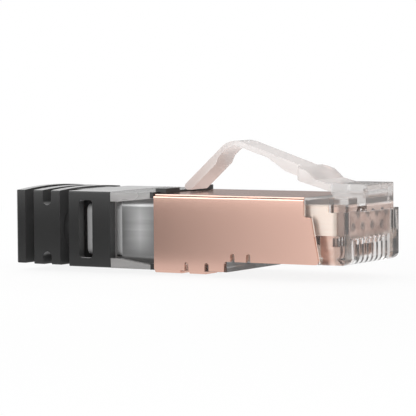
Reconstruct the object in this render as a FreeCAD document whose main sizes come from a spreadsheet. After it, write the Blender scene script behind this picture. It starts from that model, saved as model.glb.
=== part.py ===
import FreeCAD, Part
import math
import os
import re

import Sketcher

# Shielded eight-way modular plug with a clear housing, an arched latch, a copper
# coloured shield and a ribbed boot.
#
# The sub-parts are drawn about the plug's own datum: X = 0 is the front of the nose
# cheeks, the cable runs towards -X, the latch is on top and Z = 0 is the underside of
# the nose.  Each sub-part's Placement then moves it so that the origin is under the
# middle of the whole plug, on the plane that it rests on.

# Driving dimensions, in millimetres and degrees. Each of them can be set on its own.
SIZES = [
    # envelope and housing
    ("plug_width", 11.68),
    ("plug_height", 6.60),
    ("cheek_width", 1.08),
    ("brow_drop", 1.42),
    ("brow_round", 0.20),
    ("corner_depth", 1.72),
    ("corner_width", 0.95),
    ("comb_level", 2.66),
    ("panel_recess", 0.10),
    ("front_wall", 0.40),
    ("slot_scoop", 0.75),
    ("nose_round", 0.70),
    ("seat_gap", 0.03),
    ("core_inset", 1.30),
    ("deep_gap", 0.17),
    ("chamber_side", 1.14),
    ("roof_wall", 0.68),
    ("ledge_wall", 0.19),
    ("ledge_end", 6.00),
    ("chamber_floor", 0.10),
    # comb and contact blades
    ("contact_count", 8),
    ("contact_pitch", 1.02),
    ("slot_width", 0.60),
    ("slot_length", 4.40),
    ("blade_thickness", 0.35),
    ("blade_gap", 0.02),
    ("blade_front", 1.40),
    ("blade_length", 2.00),
    ("blade_low", 0.55),
    ("blade_rise", 1.35),
    ("blade_tooth", 0.70),
    ("blade_notch_depth", 0.80),
    ("blade_notch_low", 1.75),
    ("blade_notch_height", 0.87),
    ("blade_round", 0.50),
    # latch
    ("latch_width", 6.10),
    ("block_reach", 0.87),
    ("block_rise", 1.24),
    ("block_recess", 0.45),
    ("block_margin", 0.40),
    ("block_round", 0.15),
    ("root_back", 3.00),
    ("root_rise", 0.47),
    ("root_gap", 0.04),
    ("ramp_foot_run", 1.73),
    ("ramp_foot_rise", 1.60),
    ("ramp_top_run", 1.00),
    ("ramp_top_rise", 2.50),
    ("shoulder_run", 1.22),
    ("shoulder_depth", 1.34),
    ("shoulder_bevel", 0.45),
    ("arm_width", 3.30),
    ("arm_slope", 18.3),
    ("arm_thickness", 0.52),
    ("gusset_thickness", 1.12),
    ("gusset_run", 1.95),
    ("gusset_taper", 1.90),
    ("peak_lead", 6.58),
    ("peak_radius", 2.25),
    ("tail_slope", 41.7),
    ("tail_thickness", 0.85),
    ("tail_step_start", 2.25),
    ("tail_step_length", 0.80),
    ("tail_lift", 0.28),
    ("tail_end_round", 0.35),
    # shield
    ("sheet", 0.25),
    ("shield_end", 21.72),
    ("shield_front", 4.55),
    ("shield_step_drop", 1.94),
    ("shield_step_run", 0.77),
    ("shield_rake", 0.88),
    ("shield_hem", 0.03),
    ("shield_lip_gap", 0.12),
    ("fold_radius", 0.34),
    ("contour_round", 0.33),
    ("deep_lead", 8.15),
    ("deep_level", 1.00),
    ("flap_drop", 0.33),
    ("flap_reach", 2.60),
    ("flap_round", 0.30),
    ("rear_flap_lead", 3.10),
    ("rear_flap_length", 3.00),
    ("front_flap_lead", 5.87),
    ("front_flap_length", 1.76),
    ("relief_width", 0.47),
    ("relief_rise", 0.83),
    ("rear_relief_lead", 3.82),
    ("mid_relief_lead", 6.15),
    ("front_slit_lead", 0.99),
    ("front_slit_spacing", 1.80),
    # liner and wire guide
    ("liner_sheet", 0.20),
    ("liner_front", 1.30),
    ("liner_inset", 0.22),
    ("liner_notch_back", 2.20),
    ("liner_notch_drop", 1.40),
    ("guide_length", 4.90),
    ("wire_hole_radius", 0.45),
    ("upper_wire_drop", 0.97),
    ("lower_wire_rise", 0.85),
    # rear shell and cable ferrule
    ("shell_lead", 1.27),
    ("shell_reach", 4.18),
    ("shell_side", 0.64),
    ("shell_floor", 0.45),
    ("shell_drop", 0.55),
    ("shell_wall", 0.35),
    ("shell_round", 0.80),
    ("flare_length", 1.00),
    ("barrel_length", 3.60),
    ("ferrule_side", 1.24),
    ("ferrule_floor", 1.14),
    ("ferrule_drop", 1.20),
    ("flare_inset", 0.05),
    ("flare_floor", 1.02),
    ("flare_drop", 0.94),
    ("ferrule_round", 0.70),
    ("ferrule_wall", 0.40),
    # collar and clear sleeve
    ("collar_lead", 1.12),
    ("collar_reach", 0.43),
    ("collar_bar", 0.60),
    ("collar_rise", 0.18),
    ("collar_sink", 0.06),
    ("post_length", 1.25),
    ("post_rise", 0.52),
    ("post_gap", 0.40),
    ("post_side", 1.14),
    ("sleeve_step", 0.05),
    ("roof_depth", 0.98),
    ("roof_lip", 0.61),
    ("floor_depth", 1.00),
    ("floor_lip", 0.46),
    ("sleeve_ring_length", 0.80),
    ("sleeve_seat", 0.02),
    # boot
    ("boot_lead", 1.02),
    ("boot_rise", 0.14),
    ("boot_sink", 0.04),
    ("boot_wall", 0.92),
    ("boot_edge", 0.15),
    ("block_length", 5.06),
    ("first_groove", 1.11),
    ("middle_length", 3.25),
    ("middle_step", 0.09),
    ("middle_crown", 0.22),
    ("second_groove", 1.07),
    ("rib_length", 1.17),
    ("rib_step", 0.16),
    ("rib_round", 0.30),
    ("rib_crown", 0.30),
    ("notch_lead", 1.08),
    ("notch_width", 1.04),
    ("notch_depth", 1.53),
    ("low_notch_depth", 1.43),
    ("bridge_half_width", 3.05),
    ("core_side", 0.24),
    ("core_wall", 0.25),
    ("core_rear_wall", 0.60),
    ("bore_wall", 0.74),
    ("cavity_inset", 0.78),
    ("window_lead", 2.20),
    ("window_length", 1.63),
    ("window_margin", 0.91),
    ("window_round", 0.32),
]

# Widths, levels and places that follow the driving dimensions.
FOLLOWING = {
    # half widths, across the plug
    "chamber_half_width": "plug_width / 2 - chamber_side",
    "shell_half_width": "plug_width / 2 - shell_side",
    "flare_half_width": "shell_half_width - flare_inset",
    "ferrule_half_width": "plug_width / 2 - ferrule_side",
    "post_outer": "plug_width / 2 - post_side",
    "post_inner": "arm_width / 2 + post_gap",
    "core_half_width": "plug_width / 2 - core_side",
    # levels that follow the top of the plug
    "brow_level": "plug_height - brow_drop",
    "chamber_roof": "plug_height - roof_wall",
    "block_top": "plug_height + block_rise",
    "root_level": "plug_height + root_rise",
    "ramp_foot_level": "plug_height + ramp_foot_rise",
    "ramp_top_level": "plug_height + ramp_top_rise",
    "tail_end_level": "plug_height + tail_lift",
    "shield_step_level": "plug_height - shield_step_drop",
    "liner_notch_level": "plug_height - liner_notch_drop",
    "upper_wire_level": "chamber_roof - upper_wire_drop",
    "shell_high": "plug_height - shell_drop",
    "ferrule_high": "plug_height - ferrule_drop",
    "flare_high": "plug_height - flare_drop",
    "collar_top": "plug_height + collar_rise",
    "post_top": "plug_height + post_rise",
    "sleeve_top": "collar_top - sleeve_step",
    "sleeve_roof": "sleeve_top - roof_depth",
    "sleeve_roof_front": "sleeve_top - roof_lip",
    "boot_top": "plug_height + boot_rise",
    "notch_floor": "boot_top - notch_depth",
    "window_high": "boot_top - window_margin",
    # levels that follow the comb
    "chamber_ledge": "comb_level + ledge_wall",
    "lower_wire_level": "chamber_ledge + lower_wire_rise",
    "blade_top": "chamber_ledge + blade_rise",
    "blade_notch_high": "blade_notch_low + blade_notch_height",
    # levels that follow the deep rear of the shield
    "rear_relief_top": "-deep_level + relief_rise",
    "front_slit_top": "shield_hem + relief_rise",
    "shell_low": "-deep_level + shell_floor",
    "ferrule_low": "-deep_level + ferrule_floor",
    "flare_low": "-deep_level + flare_floor",
    "collar_low": "-deep_level - collar_sink",
    "sleeve_low": "-deep_level - collar_sink",
    "sleeve_floor": "sleeve_low + floor_depth",
    "sleeve_floor_front": "sleeve_low + floor_lip",
    "boot_low": "-deep_level - boot_sink",
    "middle_low": "boot_low + middle_step",
    "rib_low": "boot_low + rib_step",
    "notch_roof": "boot_low + low_notch_depth",
    "window_low": "boot_low + window_margin",
    "cable_radius": "boot_top / 2 - boot_low / 2 - bore_wall",
    "core_half_height": "cable_radius + core_wall",
    "core_rear_radius": "cable_radius + core_rear_wall",
    # distances back from the nose: the wire guide and the latch
    "guide_front": "front_wall + panel_recess",
    "ramp_foot_back": "root_back + ramp_foot_run",
    "ramp_top_back": "ramp_foot_back + ramp_top_run",
    "shoulder_back": "ramp_top_back + shoulder_run",
    "gusset_back": "shoulder_back + gusset_run",
    "gusset_end_back": "gusset_back + gusset_taper",
    "peak_back": "shield_end - peak_lead",
    "tail_step_end": "tail_step_start + tail_step_length",
    # distances back from the nose: the shield and what it holds
    "shield_step_front": "shield_front - shield_step_run",
    "shield_low_front": "shield_step_front - shield_rake",
    "deep_edge_back": "shield_end - deep_lead",
    "deep_start": "deep_edge_back - deep_gap",
    "rear_flap_start": "shield_end - rear_flap_lead",
    "front_flap_start": "shield_end - front_flap_lead",
    "rear_relief_back": "shield_end - rear_relief_lead",
    "mid_relief_back": "shield_end - mid_relief_lead",
    "front_slit_back": "deep_edge_back - front_slit_lead",
    "housing_end": "shield_end - core_inset",
    "liner_end": "housing_end - liner_inset",
    # distances back from the nose: the pieces behind the shield
    "shell_start": "shield_end - shell_lead",
    "shell_end": "shield_end + shell_reach",
    "ferrule_flare_end": "shell_end + flare_length",
    "ferrule_end": "ferrule_flare_end + barrel_length",
    "collar_start": "shield_end - collar_lead",
    "collar_end": "shield_end + collar_reach",
    "post_front": "collar_end - post_length",
    "boot_front": "shell_end + boot_lead",
    "block_end": "boot_front + block_length",
    "middle_start": "block_end + first_groove",
    "middle_end": "middle_start + middle_length",
    "rib_start": "middle_end + second_groove",
    "boot_end": "rib_start + rib_length",
    "notch_start": "middle_start + notch_lead",
    "cavity_end": "block_end - cavity_inset",
    "window_start": "boot_front + window_lead",
}

doc = FreeCAD.newDocument("modular_plug")
sheet = doc.addObject("Spreadsheet::Sheet", "sizes")
for row, (name, value) in enumerate(SIZES, start=1):
    sheet.set("A%d" % row, name)
    sheet.set("B%d" % row, str(value))
    sheet.setAlias("B%d" % row, name)
doc.recompute()

FUNCTIONS = ("sin", "cos", "tan")
NAME = r"[A-Za-z_]\w*"

# Sizes that several sub-parts share, as expressions of the sheet.
HALF_WIDTH = "plug_width / 2"
INNER_HALF = "plug_width / 2 - sheet - seat_gap"
INNER_TOP = "plug_height - sheet - seat_gap"
REST_LEVEL = "(deep_level + flap_drop)"
FRAME_X = "(boot_end - block_reach) / 2"
CORE_AXIS = "(boot_top + boot_low) / 2"

parts = []


def opened(expression):
    """The expression with each following size written out in driving dimensions."""
    def open_up(match):
        word = match.group(0)
        return "(%s)" % opened(FOLLOWING[word]) if word in FOLLOWING else word
    return re.sub(NAME, open_up, expression)


def cell(expression):
    """The expression with each alias given its sheet."""
    def add_sheet(match):
        word = match.group(0)
        return word if word in FUNCTIONS else "sizes." + word
    return re.sub(NAME, add_sheet, opened(expression))


def number(expression):
    """The value of a sum of sizes, halves of sizes and plain numbers."""
    total = 0.0
    for sign, word, halved in re.findall(r"([+-]?)\s*([\w.]+)( / 2)?", expression):
        amount = float(word) if word[0].isdigit() else size(word)
        amount = amount / 2 if halved else amount
        total += -amount if sign == "-" else amount
    return total


def size(name):
    return number(FOLLOWING[name]) if name in FOLLOWING else float(sheet.get(name))


def bind(thing, path, expression):
    thing.setExpression(path, cell(expression))


def finish_part(thing, label):
    """Name a sub-part and move it into the plug's frame."""
    thing.Label = label
    bind(thing, "Placement.Base.x", FRAME_X)
    bind(thing, "Placement.Base.z", REST_LEVEL)
    parts.append(thing)
    return thing


# ---- PartDesign helpers -----------------------------------------------------------

def new_body(label):
    return finish_part(doc.addObject("PartDesign::Body", label), label)


def origin_plane(body, role):
    return [plane for plane in body.Origin.OriginFeatures if plane.Role == role][0]


def draw_outline(sketch, points):
    """A closed outline whose corners are set by expressions of the sheet."""
    first = sketch.GeometryCount
    count = len(points)
    turn = 2 * math.pi / count
    rough = [FreeCAD.Vector(math.cos(turn * i), math.sin(turn * i), 0) for i in range(count)]
    for i in range(count):
        sketch.addGeometry(Part.LineSegment(rough[i], rough[(i + 1) % count]), False)
    for i in range(count):
        following = first + (i + 1) % count
        sketch.addConstraint(Sketcher.Constraint("Coincident", first + i, 2, following, 1))
    for i, corner in enumerate(points):
        for kind, expression in zip(("DistanceX", "DistanceY"), corner):
            index = sketch.addConstraint(Sketcher.Constraint(kind, -1, 1, first + i, 1, 1.0))
            bind(sketch, "Constraints[%d]" % index, expression)


def draw_circle(sketch, centre, radius):
    first = sketch.GeometryCount
    sketch.addGeometry(Part.Circle(FreeCAD.Vector(0, 0, 0), FreeCAD.Vector(0, 0, 1), 1.0), False)
    for kind, expression in zip(("DistanceX", "DistanceY"), centre):
        index = sketch.addConstraint(Sketcher.Constraint(kind, -1, 1, first, 3, 1.0))
        bind(sketch, "Constraints[%d]" % index, expression)
    index = sketch.addConstraint(Sketcher.Constraint("Radius", first, 1.0))
    bind(sketch, "Constraints[%d]" % index, radius)


def side_sketch(body, name, outlines, middle="0"):
    """A sketch seen from the side: first number along X, second along Z."""
    sketch = body.newObject("Sketcher::SketchObject", name + "_sketch")
    sketch.AttachmentSupport = [(origin_plane(body, "XZ_Plane"), "")]
    sketch.MapMode = "FlatFace"
    bind(sketch, "AttachmentOffset.Base.z", "-(%s)" % middle)
    for points in outlines:
        draw_outline(sketch, points)
    return sketch


def front_sketch(body, name, outlines, start):
    """A sketch across the plug at X = start: first number along Y, second along Z."""
    sketch = body.newObject("Sketcher::SketchObject", name + "_sketch")
    sketch.AttachmentSupport = [(origin_plane(body, "YZ_Plane"), "")]
    sketch.MapMode = "FlatFace"
    bind(sketch, "AttachmentOffset.Base.z", start)
    for points in outlines:
        draw_outline(sketch, points)
    return sketch


def pad_side(body, name, width, outlines, middle="0"):
    pad = body.newObject("PartDesign::Pad", name)
    pad.Profile = side_sketch(body, name, outlines, middle)
    pad.SideType = "Symmetric"
    bind(pad, "Length", width)
    return settle(body, pad)


def pocket_side(body, name, width, outlines, middle="0"):
    pocket = body.newObject("PartDesign::Pocket", name)
    pocket.Profile = side_sketch(body, name, outlines, middle)
    pocket.SideType = "Symmetric"
    bind(pocket, "Length", width)
    return settle(body, pocket, removes=True)


def pad_front(body, name, start, length, outlines):
    pad = body.newObject("PartDesign::Pad", name)
    pad.Profile = front_sketch(body, name, outlines, start)
    bind(pad, "Length", length)
    return settle(body, pad)


def pocket_front(body, name, start, length, outlines):
    pocket = body.newObject("PartDesign::Pocket", name)
    pocket.Profile = front_sketch(body, name, outlines, start)
    pocket.Reversed = True
    bind(pocket, "Length", length)
    return settle(body, pocket, removes=True)


def settle(body, feature, removes=False):
    """Recompute, and stop if a cut took nothing away."""
    doc.recompute()
    if removes:
        before = feature.BaseFeature.Shape.Volume if feature.BaseFeature else 0.0
        if before - feature.Shape.Volume < 1e-5:
            raise RuntimeError("%s cuts nothing" % feature.Name)
    body.Tip = feature
    return feature


def edge_names(shape, test):
    return ["Edge%d" % (i + 1) for i, edge in enumerate(shape.Edges) if test(edge)]


def dress(body, kind, name, radius, test):
    """A fillet or chamfer on the edges of the tip that pass a test."""
    base = body.Tip
    feature = body.newObject("PartDesign::" + kind, name)
    feature.Base = (base, edge_names(base.Shape, test))
    bind(feature, "Radius" if kind == "Fillet" else "Size", radius)
    return settle(body, feature)


def near(a, b, within=1e-4):
    return abs(a - b) < within


def runs_along(edge, axis):
    """True for a straight edge that is parallel to X, Y or Z."""
    box = edge.BoundBox
    spans = {"x": box.XLength, "y": box.YLength, "z": box.ZLength}
    long_enough = spans.pop(axis) > 1e-4
    return long_enough and all(span < 1e-5 for span in spans.values())


def stands_at(corners):
    """A test for edges along Y that start from one of a side sketch's corners."""
    def test(edge):
        box = edge.BoundBox
        return runs_along(edge, "y") and any(
            near(box.XMin, corner.x, 1e-3) and near(box.ZMin, corner.y, 1e-3)
            for corner in corners)
    return test


# ---- Part helpers -----------------------------------------------------------------

def block(name, x0, x1, y0, y1, z0, z1):
    """A box between expressions for its low and high faces."""
    box = doc.addObject("Part::Box", name)
    bind(box, "Length", "(%s) - (%s)" % (x1, x0))
    bind(box, "Width", "(%s) - (%s)" % (y1, y0))
    bind(box, "Height", "(%s) - (%s)" % (z1, z0))
    bind(box, "Placement.Base.x", x0)
    bind(box, "Placement.Base.y", y0)
    bind(box, "Placement.Base.z", z0)
    doc.recompute()
    return box


def rounded(name, base, radius, test):
    fillet = doc.addObject("Part::Fillet", name)
    fillet.Base = base
    chosen = [i + 1 for i, edge in enumerate(base.Shape.Edges) if test(edge)]
    fillet.Edges = [(number, radius, radius) for number in chosen]
    doc.recompute()
    return fillet


def tube_block(name, x0, x1, half, low, high, radius):
    """A box along X, centred on Y, with its four long edges rounded."""
    box = block(name, x0, x1, "-(%s)" % half, half, low, high)
    return rounded(name + "_rounded", box, radius, lambda edge: runs_along(edge, "x"))


def cylinder(name, radius, length, x, y, z, axis):
    """A cylinder that starts at a point and runs along X or Y."""
    turn = {"x": FreeCAD.Rotation(FreeCAD.Vector(0, 1, 0), 90),
            "y": FreeCAD.Rotation(FreeCAD.Vector(1, 0, 0), -90)}[axis]
    rod = doc.addObject("Part::Cylinder", name)
    rod.Placement = FreeCAD.Placement(FreeCAD.Vector(0, 0, 0), turn)
    bind(rod, "Radius", radius)
    bind(rod, "Height", length)
    bind(rod, "Placement.Base.x", x)
    bind(rod, "Placement.Base.y", y)
    bind(rod, "Placement.Base.z", z)
    return rod


def joined(name, shapes):
    fuse = doc.addObject("Part::MultiFuse", name)
    fuse.Shapes = shapes
    fuse.Refine = True
    doc.recompute()
    return fuse


def cut_away(name, base, tools):
    cut = doc.addObject("Part::Cut", name)
    cut.Base = base
    cut.Tool = tools[0] if len(tools) == 1 else joined(name + "_tools", tools)
    cut.Refine = True
    doc.recompute()
    return cut


# ---- Housing ----------------------------------------------------------------------

def contact_offset(index):
    """The Y place of a contact, counted from the near side."""
    return "(%d - (contact_count - 1) / 2) * contact_pitch" % index


def rectangle(a0, a1, b0, b1):
    return [(a0, b0), (a1, b0), (a1, b1), (a0, b1)]


def make_housing():
    body = new_body("housing")
    # The core slides into the shield and steps down behind the nose.
    core = [("-front_wall", INNER_TOP), ("-housing_end", INNER_TOP),
            ("-housing_end", "-deep_level - flap_drop + sheet + seat_gap"),
            ("-deep_start", "-deep_level - flap_drop + sheet + seat_gap"),
            ("-deep_start", "0"), ("-front_wall", "0")]
    pad_side(body, "core", "2 * (%s)" % INNER_HALF, [core])
    # The nose is full width, and its rear edge follows the front of the shield.
    nose = [("0", "0"), ("0", "brow_level"), ("-panel_recess", "brow_level"),
            ("-panel_recess", "plug_height"), ("-shield_front + shield_lip_gap", "plug_height"),
            ("-shield_front + shield_lip_gap", "shield_step_level + shield_lip_gap"),
            ("-shield_step_front + shield_lip_gap", "shield_step_level + shield_lip_gap"),
            ("-shield_low_front + shield_lip_gap", "0")]
    pad_side(body, "nose", "plug_width", [nose])
    # The upper front corners are cut back above the cheeks.
    inner = "plug_width / 2 - corner_width"
    outer = "plug_width / 2 + 1"
    sides = [rectangle("-(%s)" % outer, "-(%s)" % inner, "brow_level", "plug_height + 1"),
             rectangle(inner, outer, "brow_level", "plug_height + 1")]
    pocket_front(body, "upper_corners", "-corner_depth", "corner_depth + 1", sides)
    half = size("plug_width") / 2
    dress(body, "Fillet", "nose_corners", "nose_round",
          lambda edge: (runs_along(edge, "y") and near(edge.BoundBox.XMax, 0)
                        and near(edge.BoundBox.ZMin, 0))
          or (runs_along(edge, "x") and near(edge.BoundBox.ZMin, 0)
              and near(abs(edge.BoundBox.YMin), half)))
    side = half - size("corner_width")
    dress(body, "Fillet", "brow_corners", "brow_round",
          lambda edge: (runs_along(edge, "y")
                        and near(edge.BoundBox.XMax, -size("panel_recess"))
                        and near(edge.BoundBox.ZMin, size("plug_height")))
          or (runs_along(edge, "x") and near(edge.BoundBox.ZMin, size("plug_height"))
              and near(abs(edge.BoundBox.YMin), side)))
    make_latch_block(body)
    make_chamber(body)
    make_comb(body)


def make_latch_block(body):
    """The block that carries the latch, with a shallow recess in its front."""
    outline = [("block_reach", "brow_level"), ("block_reach", "block_top"),
               ("-root_back", "block_top"), ("-root_back", "root_level"),
               ("-root_back + 0.35", "plug_height - 0.2"), ("-front_wall", "plug_height - 0.2"),
               ("-front_wall", "brow_level")]
    pad_side(body, "latch_block", "latch_width", [outline])
    half = size("latch_width") / 2
    dress(body, "Fillet", "block_corners", "block_round",
          lambda edge: near(edge.BoundBox.XMax, size("block_reach"))
          and (runs_along(edge, "z") and near(abs(edge.BoundBox.YMin), half)
               or runs_along(edge, "y") and near(edge.BoundBox.ZMin, size("block_top"))))
    pocket_front(body, "block_recess_cut", "block_reach - block_recess", "2 * block_recess",
                 [rectangle("-latch_width / 2 + block_margin", "latch_width / 2 - block_margin",
                            "plug_height - block_margin / 4", "block_top - block_margin")])


def make_chamber(body):
    """The wire chamber, open at the rear, with a ledge over the comb."""
    pocket_front(body, "chamber", "-housing_end - 1", "housing_end + 1 - front_wall - panel_recess",
                 [rectangle("-chamber_half_width", "chamber_half_width",
                            "chamber_ledge", "chamber_roof")])
    pocket_front(body, "lower_chamber", "-housing_end - 1", "housing_end + 1 - ledge_end",
                 [rectangle("-chamber_half_width", "chamber_half_width",
                            "chamber_floor", "chamber_ledge + 0.1")])


def make_comb(body):
    """The open-fronted slots for the jack's springs and the slits for the blades."""
    cheek = "plug_width / 2 - cheek_width"
    pocket_front(body, "panel_recess_cut", "-panel_recess", "panel_recess + 1",
                 [rectangle("-(%s)" % cheek, cheek, "comb_level", "brow_level")])
    slots = []
    slits = []
    for index in range(int(size("contact_count"))):
        middle = contact_offset(index)
        slots.append(rectangle(middle + " - slot_width / 2", middle + " + slot_width / 2",
                               "-1", "comb_level - slot_scoop"))
        slits.append(rectangle(middle + " - blade_thickness / 2 - blade_gap",
                               middle + " + blade_thickness / 2 + blade_gap",
                               "comb_level - slot_scoop - 0.1", "chamber_ledge + 0.1"))
    pocket_front(body, "comb_slots", "-slot_length", "slot_length + 1", slots)
    pocket_front(body, "blade_slits", "-blade_front - blade_length - blade_gap",
                 "blade_length + 2 * blade_gap", slits)
    # At the front each slot's roof curves up to the front panel.
    for index in range(int(size("contact_count"))):
        name = "slot_scoop_%d" % (index + 1)
        pocket = body.newObject("PartDesign::Pocket", name)
        sketch = side_sketch(body, name, [], contact_offset(index))
        draw_circle(sketch, ("0", "comb_level - slot_scoop"), "slot_scoop")
        pocket.Profile = sketch
        pocket.SideType = "Symmetric"
        bind(pocket, "Length", "slot_width")
        settle(body, pocket, removes=True)


# ---- Contact blades ---------------------------------------------------------------

def make_contact(index):
    """A blade with a rounded foot, a notched front edge and two piercing teeth."""
    label = "contact_%d" % (index + 1)
    body = new_body(label)
    front = "-blade_front"
    back = "-blade_front - blade_length"
    middle = "-blade_front - blade_length / 2"
    outline = [(front, "blade_low"), (front, "blade_notch_low"),
               ("-blade_front - blade_notch_depth", "blade_notch_low"),
               ("-blade_front - blade_notch_depth", "blade_notch_high"),
               (front, "blade_notch_high"), (front, "blade_top - blade_tooth"),
               ("-blade_front - blade_length / 4", "blade_top"), (middle, "blade_top - blade_tooth"),
               ("-blade_front - 3 * blade_length / 4", "blade_top"),
               (back, "blade_top - blade_tooth"), (back, "blade_low")]
    pad_side(body, label + "_blade", "blade_thickness", [outline], contact_offset(index))
    dress(body, "Fillet", label + "_foot", "blade_round",
          lambda edge: runs_along(edge, "y") and near(edge.BoundBox.ZMin, size("blade_low")))


# ---- Latch ------------------------------------------------------------------------

TOP_RISE = "tan(arm_slope)"
PEAK_X = "-peak_back"
PEAK_Z = "ramp_top_level + (peak_back - ramp_top_back) * " + TOP_RISE
HALF_BEND = "(arm_slope + tail_slope) / 2"
LEAN = "(tail_slope - arm_slope) / 2"
BEND_DROP = "(peak_radius / cos(%s) - peak_radius)" % HALF_BEND
HINGE_X = PEAK_X + " + %s * sin(%s)" % (BEND_DROP, LEAN)
HINGE_Z = PEAK_Z + " - %s * cos(%s)" % (BEND_DROP, LEAN)


def arm_point(back, depth):
    """A place behind the nose, at a depth square below the arm's top line."""
    return ("-(%s)" % back,
            "ramp_top_level + ((%s) - ramp_top_back) * %s - (%s) / cos(arm_slope)"
            % (back, TOP_RISE, depth))


def tail_point(along, depth):
    """A place down the tail from the peak's corner, at a depth below its outer line."""
    return (PEAK_X + " - (%s) * cos(tail_slope) + (%s) * sin(tail_slope)" % (along, depth),
            PEAK_Z + " - (%s) * sin(tail_slope) - (%s) * cos(tail_slope)" % (along, depth))


def tail_end(depth):
    """Where the line at a depth under the tail meets the level of the tail's end."""
    along = "(%s - tail_end_level - (%s) * cos(tail_slope)) / sin(tail_slope)" % (PEAK_Z, depth)
    return tail_point(along, depth)


def bend_inner_corner():
    """The corner that the arm's and the tail's inner lines make under the peak."""
    depth = "arm_thickness / cos(%s)" % HALF_BEND
    return (PEAK_X + " + %s * sin(%s)" % (depth, LEAN), PEAK_Z + " - %s * cos(%s)" % (depth, LEAN))


def latch_blank(body, name):
    """The arched strip of the latch, from inside the wide part to the tail's end."""
    strip = [arm_point("ramp_top_back + 0.1", "0"), (PEAK_X, PEAK_Z), tail_end("0"),
             tail_end("tail_thickness"), tail_point("tail_step_end", "tail_thickness"),
             tail_point("tail_step_start", "arm_thickness"), bend_inner_corner(),
             arm_point("gusset_end_back", "arm_thickness"),
             arm_point("gusset_back", "gusset_thickness"),
             arm_point("ramp_top_back + 0.1", "gusset_thickness")]
    pad = pad_side(body, name + "_strip", "arm_width", [strip])
    corners = [line.StartPoint for line in pad.Profile[0].Geometry]
    dress(body, "Fillet", name + "_bend_top", "peak_radius", stands_at([corners[1]]))
    dress(body, "Fillet", name + "_bend_inside", "peak_radius - arm_thickness",
          stands_at([corners[6]]))


def split_outline(side):
    """Everything on one side of the bend's middle line: +1 in front, -1 behind."""
    reach = 40 * side
    shift = "%d * root_gap / 2" % -side
    return [(HINGE_X + " + (%s) - 3 * sin(%s)" % (shift, LEAN), HINGE_Z + " + 3 * cos(%s)" % LEAN),
            (HINGE_X + " + (%s) + 12 * sin(%s)" % (shift, LEAN), HINGE_Z + " - 12 * cos(%s)" % LEAN),
            (HINGE_X + " + %d" % reach, HINGE_Z + " - 12"),
            (HINGE_X + " + %d" % reach, HINGE_Z + " + 4")]


def make_latch_arm():
    """The hinged arm: its wide part with two shoulders and its narrow part."""
    body = new_body("latch_arm")
    latch_blank(body, "arm")
    pocket_side(body, "arm_end", "2 * arm_width", [split_outline(-1)])
    wide = [("-root_back - root_gap", "root_level"), ("-root_back - root_gap", "block_top"),
            ("-root_back - 0.3", "block_top"), ("-ramp_foot_back", "ramp_foot_level"),
            ("-ramp_top_back", "ramp_top_level"), arm_point("shoulder_back", "0"),
            arm_point("shoulder_back", "shoulder_depth * cos(arm_slope)")]
    pad_side(body, "wide_part", "latch_width", [wide])
    half = size("latch_width") / 2
    dress(body, "Chamfer", "shoulder_bevels", "shoulder_bevel",
          lambda edge: runs_along(edge, "z") and near(edge.BoundBox.XMin, -size("shoulder_back"))
          and near(abs(edge.BoundBox.YMin), half))


def make_latch_tail():
    """The tail that comes down between the collar's posts."""
    body = new_body("latch_tail")
    latch_blank(body, "tail")
    lowest = size("tail_end_level")
    rear = body.Tip.Shape.BoundBox.XMin
    dress(body, "Fillet", "tail_end_corner", "tail_end_round",
          lambda edge: runs_along(edge, "y") and near(edge.BoundBox.ZMin, lowest)
          and near(edge.BoundBox.XMin, rear, 0.05))
    pocket_side(body, "tail_start", "2 * arm_width", [split_outline(1)])


# ---- Shield -----------------------------------------------------------------------

def make_shield():
    """Folded sheet: a roof, two contoured sides and flaps turned in under the floor."""
    body = new_body("shield")
    side = [("-shield_end", "plug_height"), ("-shield_front", "plug_height"),
            ("-shield_front", "shield_step_level"), ("-shield_step_front", "shield_step_level"),
            ("-shield_low_front", "shield_hem"), ("-deep_edge_back", "shield_hem"),
            ("-deep_edge_back", "-deep_level"), ("-shield_end", "-deep_level")]
    pad_side(body, "side_outline", "plug_width", [side])
    corners = [(-size("shield_front"), size("shield_step_level")),
               (-size("shield_step_front"), size("shield_step_level")),
               (-size("shield_low_front"), size("shield_hem")),
               (-size("deep_edge_back"), size("shield_hem"))]
    dress(body, "Fillet", "contour", "contour_round",
          lambda edge: runs_along(edge, "y") and any(
              near(edge.BoundBox.XMin, x) and near(edge.BoundBox.ZMin, z) for x, z in corners))
    half = size("plug_width") / 2
    dress(body, "Fillet", "roof_folds", "fold_radius",
          lambda edge: runs_along(edge, "x") and near(edge.BoundBox.ZMin, size("plug_height"))
          and near(abs(edge.BoundBox.YMin), half))
    inner = "(plug_width / 2 - sheet)"
    pocket_front(body, "inside", "-shield_end - 1", "shield_end + 5",
                 [rectangle("-" + inner, inner, "-deep_level - 1", "plug_height - sheet")])
    dress(body, "Fillet", "inner_folds", "fold_radius - sheet",
          lambda edge: runs_along(edge, "x")
          and near(edge.BoundBox.ZMin, size("plug_height") - size("sheet"))
          and near(abs(edge.BoundBox.YMin), half - size("sheet")))
    make_reliefs(body)
    make_flaps(body)


def make_reliefs(body):
    """Round-topped slots that open to the lower edge of the sides."""
    front = "front_slit_back"
    slots = [("rear_relief", "rear_relief_back", "rear_relief_top"),
             ("mid_relief", "mid_relief_back", "rear_relief_top"),
             ("first_slit", front, "front_slit_top"),
             ("second_slit", front + " - front_slit_spacing", "front_slit_top")]
    for name, back, top in slots:
        outline = rectangle("-(%s) - relief_width / 2" % back, "-(%s) + relief_width / 2" % back,
                            "-deep_level - 1", top)
        pocket_side(body, name, "plug_width + 2", [outline])
        x = -number(back)
        level = size(top)
        reach = size("relief_width") / 2
        dress(body, "Fillet", name + "_top", "relief_width * 0.49",
              lambda edge: runs_along(edge, "y") and near(edge.BoundBox.ZMin, level)
              and near(abs(edge.BoundBox.XMin - x), reach))


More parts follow.
